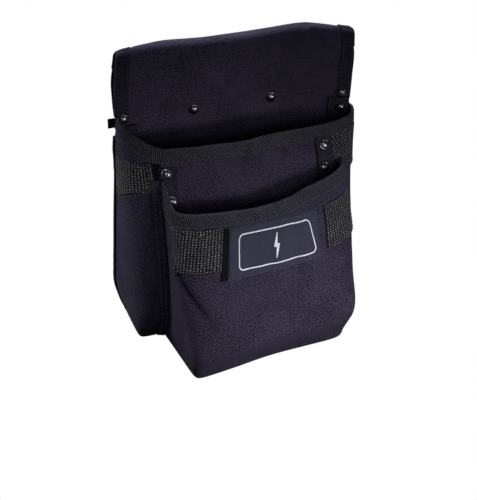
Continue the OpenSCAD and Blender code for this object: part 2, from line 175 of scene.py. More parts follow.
def wall(front, s, z, off):
    """A point of a pocket's cloth. s runs from -1 at the left attaching line to 1 at the right one, and
    off is measured outwards from the outer face. Beyond its attaching lines the front pocket's cloth
    lies flat on the rear pocket."""
    s, z, off = np.broadcast_arrays(*(np.asarray(a, float) for a in (s, z, off)))
    if front:
        w, d, n = tab(FRONT_W, z), tab(FRONT_D, z), tab(FRONT_N, z)
        n = np.where(s > 0, tab(FRONT_N_RIGHT, z, 4), n)
    else:
        w, d, n = tab(REAR_W, z), tab(REAR_D, z), tab(REAR_N, z)
        n = np.where(s < 0, tab(REAR_N_LEFT, z), n)
    a = np.pi / 2 * (1 - np.clip(s, -1, 1))
    c, e = np.cos(a), np.abs(np.sin(a))
    r = ((np.abs(c) / w) ** n + (e / d) ** n) ** (-1 / n)
    x, y = r * c, -r * e
    gx = np.sign(x) * (np.abs(x) / w) ** (n - 1) / w
    gy = -((np.abs(y) / d) ** (n - 1)) / d
    size = np.hypot(gx, gy)
    tuck = -1.3 * np.clip(1 - z / 4, 0, 1) ** 2
    push = off + tuck + (front_relief(s, z) if front else 0)
    x, y = x + gx / size * push, y + gy / size * push
    if not front:
        return np.stack([x, rear_from_ring(x, y, z), z], -1)
    # Towards the foot the front face is a little narrower than the back, and its left corner reaches
    # further forward than its right one.
    fore_part = np.abs(y) / d
    x = x * (1 - 0.074 * fore_part * ease((45 - z) / 45))
    y = y - tab(FRONT_SKEW, x, 14) * fore_part * ease((110 - z) / 90)
    mid = front_set(z)
    t = (x + w) / (2 * w)
    x = x + mid
    y = y + rear_y(mid - w, z) * (1 - t) + rear_y(mid + w, z) * t
    flat = lie(True, mid + np.sign(s) * (w + (np.abs(s) - 1) * FLANGE_W / FLANGE_S), z, off)
    return np.where((np.abs(s) >= 1)[..., None], flat, np.stack([x, y, z], -1))


def lie(front, x, z, off):
    """A point of a sheet that lies on the layer behind it."""
    x, z, off = np.broadcast_arrays(*(np.asarray(a, float) for a in (x, z, off)))
    if front:
        y, slope = rear_y(x, z), rear_y(x + 0.5, z) - rear_y(x - 0.5, z)
    else:
        y, slope = panel_lean(x, z), panel_lean(x + 0.5, z) - panel_lean(x - 0.5, z)
    up = SEAT + CLOTH_T + off
    return np.stack([x + slope / np.hypot(slope, 1) * up, y - up / np.hypot(slope, 1), z], -1)


def rim(front, s):
    """Height of a pocket's rim."""
    s = np.asarray(s, float)
    if front:
        sag = 1.6 * np.exp(-(((s + 0.25) / 0.45) ** 2))
        left = FRONT_RISE * ease((-s - 0.82) / 0.18) ** 1.3
        return FRONT_RIM - sag + left + 8 * ease((s - 0.1) / 0.85)
    left = 24 * ease((-s - 0.72) / 0.28) ** 1.2 + 3 * ease((s - 0.85) / 0.15)
    return REAR_RIM + left + 0.8 * noise(s * 4, 0, 21)


def tunnel_depth(z):
    """Distance between the tunnel's front and back cloth."""
    q = np.clip((z - SEAM_Z - 4) / (POUCH_H - FOLD_H - SEAM_Z - 4), 0, 1)
    return SEAT + (TUNNEL_GAP - SEAT) * np.maximum(0, np.sin(q * math.radians(140))) ** 0.7


def panel_path():
    """The panel's inner face from the foot, up, over the fold and down the back, with outward normals."""
    top = POUCH_H - FOLD_H
    deep = float(tunnel_depth(top))
    front = [(PANEL_T, z) for z in np.arange(0, top, 2.0)]
    arc = np.linspace(0, np.pi, 21)
    over = [(PANEL_T + deep / 2 - deep / 2 * math.cos(a), top + (FOLD_H - PANEL_T) * math.sin(a))
            for a in arc]
    back = [(PANEL_T + float(tunnel_depth(z)), z) for z in np.arange(top - 2, HEM_Z - 8, -2.0)]
    path = np.array(front + over + back)
    along = np.r_[0, np.cumsum(np.hypot(*np.diff(path, axis=0).T))]
    step = np.gradient(path, along, axis=0)
    step /= np.hypot(*step.T)[:, None]
    return along, path, np.stack([-step[:, 1], step[:, 0]], -1)


PATH_T, PATH, PATH_OUT = panel_path()
TOP = int(np.argmax(PATH[:, 1]))  # where the path turns down the back
PANEL_TOP_T = float(PATH_T[TOP])
HEM_T = float(np.interp(-HEM_Z, -PATH[TOP:, 1], PATH_T[TOP:]))
SEAM_BACK_T = HEM_T - (SEAM_Z - HEM_Z)


def panel(x, t, off):
    """A point of the folded panel at x and at the length t along its path. off 0 is its inner face."""
    x, t, off = np.broadcast_arrays(*(np.asarray(a, float) for a in (x, t, off)))
    y, z = (np.interp(t, PATH_T, PATH[:, k]) for k in (0, 1))
    oy, oz = (np.interp(t, PATH_T, PATH_OUT[:, k]) for k in (0, 1))
    size = np.hypot(oy, oz)
    free = ease((z - SEAM_Z) / 14) * ease((TUNNEL_W / 2 + 4 - np.abs(x)) / 22)
    free = free * (1 - 0.6 * ease((z - 232) / 20))
    puff = (1.3 * noise(x / 45 + 2, t / 40, 31) + 0.4 * noise(x / 16, t / 18, 32)) * free
    facing = t < PANEL_TOP_T
    puff = puff + facing * ease((z - 203) / 10) * creased(0, x, z, TUNNEL_CREASES)
    seam = -0.9 * np.exp(-(((z - SEAM_Z) / 4) ** 2)) * np.where(facing, 1, 0.3)
    push = off + puff + seam * (np.abs(x) < TUNNEL_W / 2 - 12)
    y, z = y + oy / size * push, z + oz / size * push
    # The open ends press flat, the fold peaks at one place, and its corners drop.
    y = np.where(y > PANEL_T, PANEL_T + (y - PANEL_T) * (1 - 0.55 * ease((np.abs(x) - 58) / 46)), y)
    drop = (0.8 * ease((-x - 82) / 20) - 2.2 * ease((-x - 20) / 40)
            - 1.6 * np.clip((x - 12) / 54, 0, 1) + 3.0 * np.clip((x - 66) / 38, 0, 1))
    high = ease((z - 226) / 28)
    round_r = np.where(x < 0, CORNER_R[0], CORNER_R[1])
    corner = 1 - np.sqrt(1 - np.clip((z - POUCH_H) / round_r + 1, 0, 1) ** 2)
    x = x - np.sign(x) * round_r * corner * ease((np.abs(x) - 84) / 20)
    x = x + (2.8 * ease((-x - 80) / 24) - 2.4 * ease((x - 80) / 24)) * high
    return np.stack([x, y + panel_lean(x, np.minimum(z, POUCH_H)), z - drop * high], -1)


def panel_half(t):
    """Half the cloth's width inside its edge tape, at the length t along the path."""
    z = np.interp(t, PATH_T, PATH[:, 1])
    return np.where(t < PANEL_TOP_T, tab(REAR_W, z), TUNNEL_W / 2) - GAP - TAPE_T


# ---------------------------------------------------------------- materials

class Finish:
    """A node material whose pattern is laid out in millimetres on the UV map called cloth."""

    def __init__(self, name, rough, metallic=0.0, sheen=0.0, specular=0.5):
        self.material = bpy.data.materials.new(name)
        self.material.use_nodes = True
        self.tree = self.material.node_tree
        self.shader = self.tree.nodes["Principled BSDF"]
        self.set(self.shader, {"Metallic": metallic, "Sheen Weight": sheen, "Sheen Roughness": 0.5,
                               "Specular IOR Level": specular, "Roughness": rough})
        self.uv = self.node("UVMap", uv_map="cloth")
        parts = self.node("SeparateXYZ", {"Vector": self.uv}, whole=True)
        self.u, self.v = parts.outputs[0], parts.outputs[1]

    def set(self, node, inputs):
        for key, value in inputs.items():
            if isinstance(value, bpy.types.NodeSocket):
                self.tree.links.new(value, node.inputs[key])
            else:
                node.inputs[key].default_value = value

    def node(self, kind, inputs=(), whole=False, **props):
        """Adds a shader node and gives its first output, or the node itself if whole is set."""
        n = self.tree.nodes.new("ShaderNode" + kind)
        for key, value in props.items():
            setattr(n, key, value)
        self.set(n, dict(inputs))
        return n if whole else n.outputs[0]

    def math(self, operation, a, b=0.0, c=0.0):
        return self.node("Math", {0: a, 1: b, 2: c}, operation=operation)

    def sine(self, value, period, shift=0.0):
        return self.math("SINE", self.math("MULTIPLY_ADD", value, 2 * math.pi / period, shift))

    def mix(self, a, b, amount):
        """a plus amount times b."""
        return self.math("MULTIPLY_ADD", b, amount, a)

    def noise(self, scale, detail=2.0, stretch=(1, 1, 1)):
        where = self.node("VectorMath", {0: self.uv, 1: stretch}, operation="MULTIPLY")
        return self.node("TexNoise", {"Vector": where, "Scale": scale, "Detail": detail})

    def ramp(self, value, stops):
        n = self.node("ValToRGB", {"Fac": value}, whole=True)
        ends = n.color_ramp.elements
        while len(ends) < len(stops):
            ends.new(0.5)
        for end, (at, colour) in zip(ends, stops):
            end.position, end.color = at, (*colour, 1)
        return n.outputs[0]

    def colour(self, value, *stops):
        self.set(self.shader, {"Base Color": self.ramp(value, stops)})

    def rough(self, value, low, high):
        self.set(self.shader, {"Roughness": self.node(
            "MapRange", {"Value": value, "To Min": low, "To Max": high})})

    def bump(self, height, distance, strength=1.0):
        self.set(self.shader, {"Normal": self.node(
            "Bump", {"Height": height, "Distance": distance * MM, "Strength": strength})})
        return self.material


def woven(name, dark, light, pitch, relief, mottle=1.0):
    """Plain weave of thick yarn: threads over and under each other, with lighter and darker yarns."""
    f = Finish(name, 0.85, specular=0.08)
    over = f.math("MULTIPLY", f.sine(f.u, 2 * pitch), f.sine(f.v, 2 * pitch))
    yarn = f.math("POWER", f.math("ABSOLUTE", over), 0.6)
    warp, weft = f.noise(0.55, 1, (1, 0.12, 1)), f.noise(0.6, 1, (0.12, 1, 1))
    patches = f.noise(0.03, 3)
    grain = f.noise(0.75, 3)
    twill = f.sine(f.math("ADD", f.u, f.v), 2.5 * pitch)
    shade = f.mix(f.mix(f.math("MULTIPLY", yarn, 0.7), warp, 0.3 * mottle), weft, 0.3 * mottle)
    shade = f.mix(f.mix(f.mix(shade, over, 0.16), patches, 0.6 * mottle), grain, 2.3 * mottle)
    shade = f.math("SUBTRACT", f.mix(shade, twill, 0.2 * mottle), -0.1 + 1.75 * mottle)
    f.colour(shade, (0.05, dark), (0.95, light))
    f.rough(grain, 0.72, 0.95)
    height = f.mix(f.mix(f.math("MULTIPLY", yarn, 0.6), over, 0.25), grain, 0.6)
    return f.bump(height, relief)


def ribbed(name, dark, light, pitch=2.0):
    """Woven tape with slanting ribs across it and a flat selvedge along both edges."""
    f = Finish(name, 0.8, specular=0.08)
    slant = f.mix(f.u, f.v, 0.45)
    rib = f.math("MULTIPLY_ADD", f.sine(slant, pitch), 0.5, 0.5)
    yarn = f.math("MULTIPLY_ADD", f.sine(f.v, 0.9), 0.5, 0.5)
    grain = f.noise(0.8, 3)
    wear = f.noise(0.06, 3)
    shade = f.mix(f.mix(f.math("MULTIPLY", rib, 1.2), yarn, 0.1), grain, 2.4)
    shade = f.math("SUBTRACT", f.mix(shade, wear, 0.8), 1.85)
    f.colour(shade, (0.05, dark), (0.95, light))
    f.rough(grain, 0.7, 0.92)
    return f.bump(f.mix(f.mix(rib, yarn, 0.2), grain, 0.5), 0.4)


def flecked(name, dark, light):
    """Heavy webbing: columns of light slanting flecks, leaning to and fro, on a dark ground."""
    f = Finish(name, 0.7, specular=0.12)
    across = f.math("ABSOLUTE", f.sine(f.u, 5.6))
    zigzag = f.math("PINGPONG", f.u, 1.4)
    along = f.math("MULTIPLY_ADD", f.sine(f.mix(f.v, zigzag, 1.2), 2.1), 0.5, 0.5)
    fleck = f.math("MULTIPLY", f.math("POWER", across, 1.8), f.math("POWER", along, 3.0))
    grain = f.noise(0.75, 2)
    patches = f.noise(0.16, 2)
    thick = f.node("MapRange", {"Value": grain, "From Min": 0.36, "From Max": 0.62,
                                "To Min": 0.12, "To Max": 1.0})
    shade = f.math("MULTIPLY", fleck, f.mix(thick, patches, 0.4))
    f.colour(shade, (0.08, dark), (0.4, tuple(0.3 * c for c in light)), (1.0, light))
    f.rough(grain, 0.55, 0.85)
    return f.bump(f.mix(fleck, grain, 0.4), 0.6)


def thread(name, dark, light):
    """Twisted thread."""
    f = Finish(name, 0.6, sheen=0.1)
    ply = f.sine(f.mix(f.u, f.v, 0.7), 0.8)
    grain = f.noise(2.0)
    f.colour(f.mix(f.math("MULTIPLY", ply, 0.2), grain, 1.0), (0.2, dark), (0.9, light))
    f.rough(grain, 0.5, 0.75)
    return f.bump(ply, 0.1)


def metal(name, dark, light):
    """Plated metal with fine scratches and some tarnish."""
    f = Finish(name, 0.25, metallic=1.0)
    scratch = f.noise(2.4, 4, (1, 0.15, 1))
    tarnish = f.noise(0.35, 3)
    f.colour(f.mix(f.math("MULTIPLY", scratch, 0.3), tarnish, 0.8), (0.3, dark), (0.8, light))
    f.rough(tarnish, 0.14, 0.36)
    return f.bump(f.mix(scratch, tarnish, 0.5), 0.03)


CLOTH = woven("woven_nylon", (0.003, 0.0025, 0.006), (0.061, 0.051, 0.090), 1.0, 0.45)
TAPE = ribbed("edge_tape", (0.003, 0.003, 0.005), (0.062, 0.060, 0.078))
# Besides real tape, the navy tape paints shade on the rear rim's left end, and the black tape paints shade
# in the gaps at the webbing strips' ends.
NAVY_TAPE_AND_SHADE = ribbed("navy_tape_and_painted_shade", (0.003, 0.0026, 0.006), (0.042, 0.037, 0.058), 1.5)
BLACK_TAPE_AND_SHADE = ribbed("black_tape_and_painted_shade", (0.002, 0.002, 0.003), (0.006, 0.006, 0.009))
WEBBING = flecked("flecked_webbing", (0.002, 0.002, 0.004), (0.50, 0.50, 0.54))
LABEL = woven("label_weave", (0.024, 0.024, 0.041), (0.047, 0.047, 0.076), 0.4, 0.12, 0.5)
PRINT = woven("label_print", (0.50, 0.51, 0.57), (0.85, 0.86, 0.92), 0.4, 0.1, 0.6)
THREAD = thread("sewing_thread", (0.004, 0.004, 0.006), (0.024, 0.024, 0.032))
METAL = metal("nickel_rivet", (0.03, 0.03, 0.036), (0.20, 0.20, 0.22))


# ---------------------------------------------------------------- meshes

class Body:
    """Closed shells gathered into one mesh."""

    def __init__(self):
        self.points, self.faces, self.uv, self.look, self.count = [], [], [], [], 0

    def add(self, points, faces, uv, look=0):
        points, uv = np.reshape(points, (-1, 3)), np.reshape(uv, (-1, 2))
        self.faces += [[i + self.count for i in f] for f in faces]
        self.look += [look] * len(faces)
        self.points.append(points)
        self.uv.append(uv)
        self.count += len(points)
        return self

    def make(self, name, finish, slot, *nodes, sharp=45):
        """Turns the shells into a Blender piece, in metres, that rides on the pouch."""
        points = (np.concatenate(self.points) + (0, FACE_Y, 0)) * MM
        uv = np.concatenate(self.uv)
        mesh = bpy.data.meshes.new(name)
        mesh.from_pydata(points.tolist(), [], self.faces)
        work = bmesh.new()
        work.from_mesh(mesh)
        bmesh.ops.recalc_face_normals(work, faces=work.faces)
        work.to_mesh(mesh)
        work.free()
        layer = mesh.uv_layers.new(name="cloth")
        corner = np.zeros(len(mesh.loops), int)
        mesh.loops.foreach_get("vertex_index", corner)
        layer.data.foreach_set("uv", uv[corner].ravel())
        for f in finish if isinstance(finish, (list, tuple)) else [finish]:
            mesh.materials.append(f)
        mesh.polygons.foreach_set("material_index", self.look)
        mesh.shade_smooth()
        mesh.set_sharp_from_angle(angle=math.radians(sharp))
        mesh.update()
        piece = bpy.data.objects.new(name, mesh)
        bpy.context.scene.collection.objects.link(piece)
        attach(piece, "root")
        if nodes:
            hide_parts(*nodes)
        return piece


def run(points, axis):
    """Length along a grid of points in one direction."""
    gaps = np.linalg.norm(np.diff(points, axis=axis), axis=-1)
    return np.concatenate([np.zeros_like(np.take(gaps, [0], axis)), np.cumsum(gaps, axis)], axis)


def quads(rows, cols, wrap=False):
    """Faces of a grid of points. wrap joins its last column to its first."""
    at = np.arange(rows * cols).reshape(rows, cols)
    if wrap:
        at = np.concatenate([at, at[:, :1]], 1)
    return np.stack([at[:-1, :-1], at[:-1, 1:], at[1:, 1:], at[1:, :-1]], -1).reshape(-1, 4)


def sheet(outer, inner, body=None, look=0):
    """Closed sheet between two grids of points."""
    rows, cols = outer.shape[:2]
    half = rows * cols
    at = np.arange(half).reshape(rows, cols)
    q = quads(rows, cols)
    edge = [*at[0], *at[1:, -1], *at[-1, -2::-1], *at[-2:0:-1, 0]]
    faces = q.tolist() + (q[:, ::-1] + half).tolist()
    faces += [[b, a, a + half, b + half] for a, b in zip(edge, edge[1:] + edge[:1])]
    across = np.broadcast_to(run(outer, 1)[rows // 2], (rows, cols))
    uv = np.stack([across - across.mean(), run(outer, 0)], -1)
    body = body or Body()
    return body.add(np.stack([outer, inner]), faces, np.stack([uv, uv]), look)


def grid(point, us, vs, *offs):
    """The same grid of points at several offsets: point(u, v, off), with v for rows and u for columns."""
    u, v = np.meshgrid(us, vs)
    return [point(u, v, off) for off in offs]


def ribbon(line, thick):
    """Closed outline of a tape's section around its middle line."""
    line = np.array(line, float)
    step = np.gradient(line, axis=0)
    side = np.stack([-step[:, 1], step[:, 0]], -1) / np.hypot(*step.T)[:, None] * thick / 2
    return np.concatenate([line - side, (line + side)[::-1]])


def fold(sheet_t, reach, legs=5, turn=7):
    """Section of a tape folded over an edge: (off, up) from the sheet's outer face and its edge."""
    r = sheet_t / 2 + GAP + TAPE_T / 2
    mid = -sheet_t / 2
    leg = np.linspace(-reach, 0, legs, endpoint=False)
    line = [(mid + r, q) for q in leg]
    line += [(mid + r * math.cos(a), r * math.sin(a)) for a in np.linspace(0, math.pi, turn)]
    line += [(mid - r, q) for q in leg[::-1]]
    return ribbon(line, TAPE_T)


def tape(place, stations, section, body=None, look=0, pucker=0.15):
    """Tape swept through stations: place(station, a, b) turns a section's points into points in space."""
    k, m = len(stations), len(section)
    st = np.asarray(stations, float)[:, None]
    length = run(place(st, section[:1, 0], section[:1, 1]), 0)
    a = section[None, :, 0] + pucker * noise(length / 4.0, 0, 41) * (np.arange(m) < m / 2)
    b = section[None, :, 1] + 0.35 * noise(length / 6.0, 3, 42) * (section[None, :, 1] < -2)
    points = place(st, a, b)
    q = quads(k, m, wrap=True)
    faces = q.tolist()
    for base in (0, (k - 1) * m):
        for i in range(m // 2 - 1):
            f = [base + i, base + i + 1, base + m - 2 - i, base + m - 1 - i]
            faces.append(f if base else f[::-1])
    outline = np.r_[0, np.cumsum(np.hypot(*np.diff(section[: m // 2], axis=0).T))]
    v = np.broadcast_to(np.r_[outline, outline[::-1]], (k, m))
    uv = np.stack([np.broadcast_to(length, (k, m)), v], -1)
    return (body or Body()).add(points, faces, uv, look)


def inset(front, s, z, up):
    """Moves from a pocket's rim at (s, z) across it in the cloth, up millimetres towards the free edge."""
    ds, dz = 0.004, 0.6
    along = wall(front, s + ds, rim(front, s + ds), 0) - wall(front, s - ds, rim(front, s - ds), 0)
    along /= np.linalg.norm(along, axis=-1, keepdims=True)
    ps = (wall(front, s + ds, z, 0) - wall(front, s - ds, z, 0)) / (2 * ds)
    pz = (wall(front, s, z + dz, 0) - wall(front, s, z - dz, 0)) / (2 * dz)
    a, b = (along * pz).sum(-1), -(along * ps).sum(-1)
    size = np.linalg.norm(a[..., None] * ps + b[..., None] * pz, axis=-1) * np.sign(b)
    return s + a / size * up, z + b / size * up


STITCH, PITCH, THREAD_R = 2.5, 3.6, 0.36


def stitches(line, lift, body=None):
    """Stitches along a line of points. lift points out of the cloth at each point."""
    body = body or Body()
    length = run(line[:, None], 0)[:, 0]
    total = length[-1]
    starts = np.arange(0.5, total - STITCH, PITCH)
    rings, sides = 5, 6
    for at in starts:
        ends = [np.array([np.interp(t, length, line[:, k]) for k in range(3)]) for t in (at, at + STITCH)]
        up = np.array([np.interp(at + STITCH / 2, length, lift[:, k]) for k in range(3)])
        along = ends[1] - ends[0]
        up = up - along * (up @ along) / (along @ along)
        up /= np.linalg.norm(up)
        side = np.cross(along / np.linalg.norm(along), up)
        pts = []
        for i in range(rings):
            t = i / (rings - 1)
            r = THREAD_R * (0.35 + 0.65 * math.sin(math.pi * t) ** 0.5)
            mid = ends[0] + along * t + up * (0.32 * math.sin(math.pi * t) - 0.12)
            pts += [mid + r * (math.cos(a) * side + math.sin(a) * up)
                    for a in np.linspace(0, 2 * math.pi, sides, endpoint=False)]
        faces = quads(rings, sides, wrap=True).tolist()
        faces += [list(range(sides))[::-1], [(rings - 1) * sides + i for i in range(sides)]]
        uv = [(at + STITCH * (i // sides) / (rings - 1), (i % sides) * 0.4) for i in range(rings * sides)]
        body.add(pts, faces, uv)
    return body


def sew(point, us, vs, off, body=None):
    """Stitches along a line on a surface point(u, v, off)."""
    us, vs = np.broadcast_arrays(np.asarray(us, float), np.asarray(vs, float))
    line = point(us, vs, off)
    return stitches(line, point(us, vs, off + 1) - line, body)


rear = lambda s, z, off: wall(False, s, z, off)
fore = lambda s, z, off: wall(True, s, z, off)
on_panel = lambda x, t, off: panel(x, t, PANEL_T + off)
over_panel = lambda x, z, off: lie(False, x, z, off)
over_rear = lambda x, z, off: lie(True, x, z, off)


# ---------------------------------------------------------------- the folded back panel

def panel_grid(off):
    c, t = np.meshgrid(np.linspace(-1, 1, 105), np.linspace(0.5, HEM_T, 170))
    return panel(c * panel_half(t), t, off)


sheet(panel_grid(PANEL_T), panel_grid(0)).make(
    "folded_back_panel", CLOTH, "cloth", "back_panel", "belt_tunnel_flap")


def edge_of_panel(side):
    """Places a tape's section on the panel's side edge, at the length t along its path."""
    return lambda t, p, q: panel(side * (TUNNEL_W / 2 - GAP - TAPE_T + q), t, PANEL_T + p)


SIDES = (("left", -1), ("right", 1))
CAP_FRONT, CAP_BACK = 16, 18  # how far the tape's cap reaches down from the fold
tunnel_thread = Body()
for word, side in SIDES:
    start = SEAM_Z - 7
    stations = np.linspace(start, SEAM_BACK_T - 4, 160)
    body = tape(edge_of_panel(side), stations, fold(PANEL_T, TAPE_W, legs=6))
    # The tape's cap over the fold.
    cap = np.linspace(POUCH_H - CAP_FRONT, PANEL_TOP_T + CAP_BACK, 30)
    thicker = fold(PANEL_T + TAPE_T, TAPE_W + 0.4, legs=6) + (TAPE_T / 2, 0.3)
    tape(edge_of_panel(side), cap, thicker, body)
    body.make(f"tunnel_binding_{word}", NAVY_TAPE_AND_SHADE, "tape", f"tunnel_binding_{word}")
    x = side * (TUNNEL_W / 2 - GAP - TAPE_T)
    rise = np.linspace(start + 2, SEAM_BACK_T - 6, 80)
    for inboard in (1.0, TAPE_W - 1.6):
        sew(on_panel, x - side * inboard, rise, TAPE_T + GAP, tunnel_thread)
    for t in (POUCH_H - CAP_FRONT + 1.5, PANEL_TOP_T + CAP_BACK - 2):
        sew(on_panel, x - side * np.linspace(0.5, TAPE_W - 0.5, 6), t, 1.5 * (TAPE_T + GAP), tunnel_thread)

for t in (SEAM_Z, SEAM_BACK_T):
    sew(on_panel, np.linspace(-90, 90, 60), t, 0.0, tunnel_thread)
hem_x = np.linspace(-TUNNEL_W / 2 - HEM_OVERHANG[0], TUNNEL_W / 2 + HEM_OVERHANG[1], 90)
hem = tape(lambda x, p, q: panel(x, HEM_T + q, PANEL_T + p), hem_x, fold(PANEL_T, HEM_W))
hem.make("flap_hem_tape", BLACK_TAPE_AND_SHADE, "tape", "flap_hem_tape")
sew(on_panel, np.linspace(-104, 104, 60), HEM_T - 5.8, TAPE_T + GAP, tunnel_thread)
tunnel_thread.make("tunnel_stitching", THREAD, "tape")

# ---------------------------------------------------------------- the rear pocket

WALL_LOW, FLANGE_LIFT = 0.5, 4.5
BASE_LOW, BASE_TOP, BASE_EDGE_Z = 0.9, 2.4, 3.0


def pocket_cloth(front, columns, rows=90):
    """A pocket's wall, from its foot to its rim. The seam allowances end higher at the foot."""
    s = np.broadcast_to(columns, (rows, len(columns)))
    t = np.linspace(0, 1, rows)[:, None]
    low = WALL_LOW + FLANGE_LIFT * np.clip((np.abs(s) - 1) / FLANGE_S, 0, 1)
    z = low + (rim(front, s) - low) * t
    return sheet(wall(front, s, z, 0), wall(front, s, z, -CLOTH_T))


def spaced(count, ends=1.0):
    """Values from -ends to ends, closer together towards both."""
    i = np.linspace(-1, 1, count)
    return np.sign(i) * (1 - (1 - np.abs(i)) ** 1.25) * ends


def pocket_bottom(front, name):
    s, t = np.meshgrid(spaced(61, 0.985), np.linspace(0, 1, 12))
    edge = wall(front, s, BASE_EDGE_Z, -CLOTH_T - 0.2)
    back = rear_y(edge[..., 0], BASE_EDGE_Z) - 0.3 if front else -SEAT
    sag = 0.5 * np.sin(np.pi * t) * (1 - np.abs(s) ** 4)
    layers = [np.stack([edge[..., 0], back + (edge[..., 1] - back) * t, z - sag], -1)
              for z in (BASE_LOW, BASE_TOP)]
    return sheet(*layers).make(name, CLOTH, "cloth", name)


def rim_tape(front, ends, reach, painted_shade_to=-1.0):
    """Tape folded over a rim. Its left end, up to the s given for it, is in plainer, darker tape: painted
    shade at that end.
    """
    section = fold(CLOTH_T, reach)
    stations = spaced(190, ends)
    cut = np.searchsorted(stations, painted_shade_to)

    def place(s, p, q):
        s = np.broadcast_to(s, np.broadcast(s, p, q).shape)
        a, b = inset(front, s, rim(front, s), q)
        return wall(front, a, b, p)
    body = tape(place, stations[max(0, cut - 1):], section)
    return tape(place, stations[:cut], section, body, 1) if cut else body


def rim_seam(front, ends, down, body):
    s = spaced(150, ends)
    a, b = inset(front, s, rim(front, s), -down)
    return sew(fore if front else rear, a, b, TAPE_T + GAP, body)


def patch(front, s0, s1, z0, z1, off, thick, body=None, look=0, cols=40, rows=26, rise=0,
          run_in=0.12):
    """Strip sewn on a pocket's face, with rounded edges. s0 and s1 may each be (at the foot, at the top).
    From its left end, the lower edge rises by rise millimetres while s grows by run_in."""
    across, z = np.meshgrid(np.linspace(0, 1, cols), np.linspace(z0, z1, rows))
    s0, s1 = (np.interp(z, (z0, z1), np.broadcast_to(end, 2)) for end in (s0, s1))
    s = s0 + (s1 - s0) * across
    z0 = z0 + rise * ease((s - s0) / run_in)
    z = z0 + (z1 - z0) * np.linspace(0, 1, rows)[:, None]
    e = np.minimum(np.minimum(z - z0, z1 - z) / 0.8, np.minimum(s - s0, s1 - s) * 110 / 0.8)
    top = off + thick * (0.45 + 0.55 * ease(e) ** 0.5)
    return sheet(wall(front, s, z, top), wall(front, s, z, off), body, look)


rear_thread = Body()
pocket_cloth(False, spaced(181)).make("rear_pocket_wall", CLOTH, "cloth", "rear_pocket_shell")
pocket_bottom(False, "rear_pocket_base")
# The binding's left end is in the darker navy tape: painted shade.
rim_tape(False, 0.985, TAPE_W, painted_shade_to=-0.87).make(
    "rear_rim_binding", [TAPE, NAVY_TAPE_AND_SHADE], "tape", "rear_rim_binding")
rim_seam(False, 0.97, RIM_SEAM, rear_thread)

# Section of the binding over a side seam, from the panel's back round to the pocket's side.
SIDE_SECTION = ribbon([(-10, 2.4), (-7, 2.4), (-4, 2.4), (-1.5, 2.4), (0, 2.3), (0.8, 1.9), (1.2, 1.1),
                       (1.3, 0), (1.35, -1.5), (1.4, -3.2)], TAPE_T)[::-1]

for word, side in SIDES:
    def side_place(z, p, q, side=side):
        """Places the section along the panel's side edge, pulled in a little at the foot."""
        w = tab(REAR_W, z)
        lean = panel_lean(side * w, z)
        x = side * (w - 0.5 - 1.1 * ease((16 - z) / 16) + p)
        return np.stack(np.broadcast_arrays(x, q + lean, z), -1)
    body = tape(side_place, np.linspace(3, 184, 120), SIDE_SECTION, pucker=0.1)
    body.make(f"side_binding_{word}", BLACK_TAPE_AND_SHADE, "tape", f"side_binding_{word}")
    line = side_place(np.linspace(4, 182, 80), -8.4, 2.85)
    stitches(line, np.tile([0.0, 1.0, 0.0], (80, 1)), rear_thread)

    # Corner tab on the panel, held by two rivets.
    tab_x = np.linspace(86, 103, 12) * side
    outer, inner = grid(over_panel, tab_x, np.linspace(168, 193, 16), -0.4, -1.5)
    sheet(outer, inner).make(f"rear_corner_tab_{word}", NAVY_TAPE_AND_SHADE, "tape", f"rear_corner_tab_{word}")

    # Webbing strip. The left one's lower edge rises towards the front, and at its inner end a thin dark
    # sheet is painted shade for the gap beside the front pocket.
    inner = (-0.70, -0.775) if side < 0 else (0.69, 0.69)
    drop, rise = (7, 15) if side < 0 else (3, 0)
    low, high = REAR_RIM - WEBBING_W - 1 - drop, REAR_RIM - TAPE_W + 2
    s0, s1 = (-REAR_END, inner) if side < 0 else (inner, REAR_END)
    body = patch(False, s0, s1, low, high, GAP, WEBBING_T, rise=rise, run_in=0.2)
    # A thin dark sheet at the inner end: painted shade.
    if side < 0:
        patch(False, np.add(inner, -0.003), np.add(inner, 0.035), low + rise - 1.5, high, GAP,
              PAINTED_SHADE_T, body, 1, cols=8)
    body.make(f"rear_webbing_{word}", [WEBBING, BLACK_TAPE_AND_SHADE], "webbing", f"rear_webbing_{word}")
    for inboard in (0.012, 0.03):
        sew(rear, np.linspace(*inner, 12) + side * inboard, np.linspace(low + rise + 1, high - 1, 12),
            GAP + WEBBING_T, rear_thread)
    across = np.linspace(0.04, 0.96, 16)
    foot = low + 1.6 + rise * ease(across if side < 0 else 1 - across)
    sew(rear, side * (REAR_END + (abs(inner[0]) - REAR_END) * across), foot, GAP + WEBBING_T, rear_thread)

sew(rear, np.linspace(-0.92, 0.92, 150), FOOT_SEAM_Z, 0.0, rear_thread)
rear_thread.make("rear_pocket_stitching", THREAD, "tape")

# ---------------------------------------------------------------- the front pocket

front_thread = Body()
columns = np.r_[-1 - FLANGE_S, -1 - FLANGE_S / 2, spaced(161), 1 + FLANGE_S / 2, 1 + FLANGE_S]
pocket_cloth(True, columns).make("front_pocket_wall", CLOTH, "cloth", "front_pocket_shell")
pocket_bottom(True, "front_pocket_base")
rim_tape(True, 0.988, TAPE_W).make("front_rim_binding", TAPE, "tape", "front_rim_binding")
rim_seam(True, 0.96, RIM_SEAM, front_thread)

